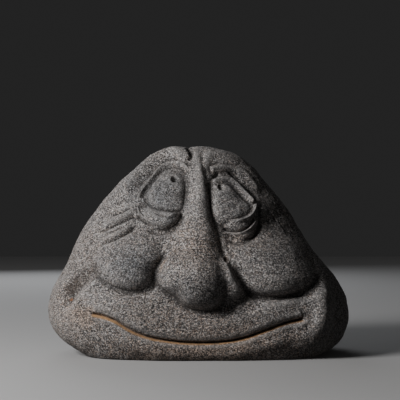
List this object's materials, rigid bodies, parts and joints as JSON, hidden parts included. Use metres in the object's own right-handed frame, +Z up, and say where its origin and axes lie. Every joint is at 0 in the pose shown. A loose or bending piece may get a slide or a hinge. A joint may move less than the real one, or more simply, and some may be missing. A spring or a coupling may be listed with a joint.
{
  "type": "carved stone face boulder",
  "caption": "Granite boulder carved on its front as a broad grinning face with a bulbous nose, round cheeks and heavy-lidded eyes, standing on its flat underside.",
  "frame": {"origin": "on the flat underside, below the middle of the face's outline", "axes": "+X to the face's left, which is the viewer's right, +Y towards the back, +Z up; the face looks along -Y"},
  "size_m": [0.4201, 0.2742, 0.2885],
  "materials": {
    "granite": "weathered grey granite, tooled and rubbed, dry and matt"
  },
  "bodies": {
    "root": {"carved_stone_head": "granite"}
  },
  "joints": []
}
